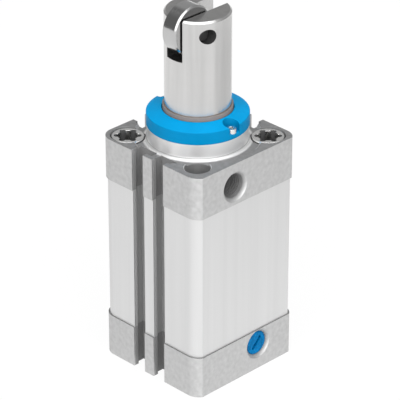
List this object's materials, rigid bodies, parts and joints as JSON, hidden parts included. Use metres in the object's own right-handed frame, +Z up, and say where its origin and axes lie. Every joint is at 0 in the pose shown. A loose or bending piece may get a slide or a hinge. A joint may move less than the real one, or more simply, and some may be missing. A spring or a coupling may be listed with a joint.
{
  "type": "stopper cylinder",
  "caption": "Square-bodied pneumatic stopper cylinder with a spring-extended rod, a roller in a fork at its top, sensor slots and blue cover ring.",
  "frame": {"origin": "centre of the mounting face under the end cap", "axes": "+Z up along the rod towards the roller, +X the way the supply port looks, the roller stands out of the fork towards -Y; the rod is drawn extended"},
  "size_m": [0.046, 0.046, 0.1304],
  "materials": {
    "cap_aluminium": "blasted and anodised",
    "barrel_aluminium": "satin anodised extrusion",
    "blue_plastic": "moulded, slightly glossy",
    "rod_steel": "ground stainless steel",
    "roller_steel": "ground and polished",
    "screw_steel": "bright zinc plated",
    "bearing_bronze": "sintered bronze",
    "wiper_polyurethane": "matt",
    "seal_rubber": "matt",
    "piston_aluminium": "turned",
    "band_plastic": "matt",
    "magnet_ferrite": "matt"
  },
  "bodies": {
    "housing": {"end_cap": "cap_aluminium", "barrel": "barrel_aluminium", "bearing_cap": "cap_aluminium", "upper_o_ring": "seal_rubber", "lower_o_ring": "seal_rubber", "upper_bumper": "seal_rubber", "lower_bumper": "seal_rubber", "upper_tie_screw_left": "screw_steel", "upper_tie_screw_right": "screw_steel", "lower_tie_screw_left": "screw_steel", "lower_tie_screw_right": "screw_steel", "cover_ring": "blue_plastic", "ring_screw": "screw_steel", "left_ring_screw": "screw_steel", "guide_bush": "bearing_bronze", "rod_seal": "seal_rubber", "rod_wiper": "wiper_polyurethane", "port_plug": "blue_plastic", "anti_rotation_bar": "screw_steel", "return_spring": "screw_steel"},
    "rod": {"piston_rod": "rod_steel", "roller_pin": "roller_steel", "piston": "piston_aluminium", "upper_piston_seal": "seal_rubber", "lower_piston_seal": "seal_rubber", "piston_guide_band": "band_plastic", "piston_magnet": "magnet_ferrite", "piston_nut": "screw_steel"},
    "roller": {"roller": "roller_steel", "roller_bush": "bearing_bronze"}
  },
  "joints": [
    {"name": "rod_slide", "type": "slide", "parent": "housing", "child": "rod", "axis": [0, 0, 1], "range_m": [-0.02, 0], "stiffness_N_per_m": 500, "springref_m": 0.03, "deforming": ["return_spring"]},
    {"name": "roller_spin", "type": "hinge", "parent": "rod", "child": "roller", "pos_m": [0, -0.0049, 0.122], "axis": [1, 0, 0], "continuous": true}
  ]
}
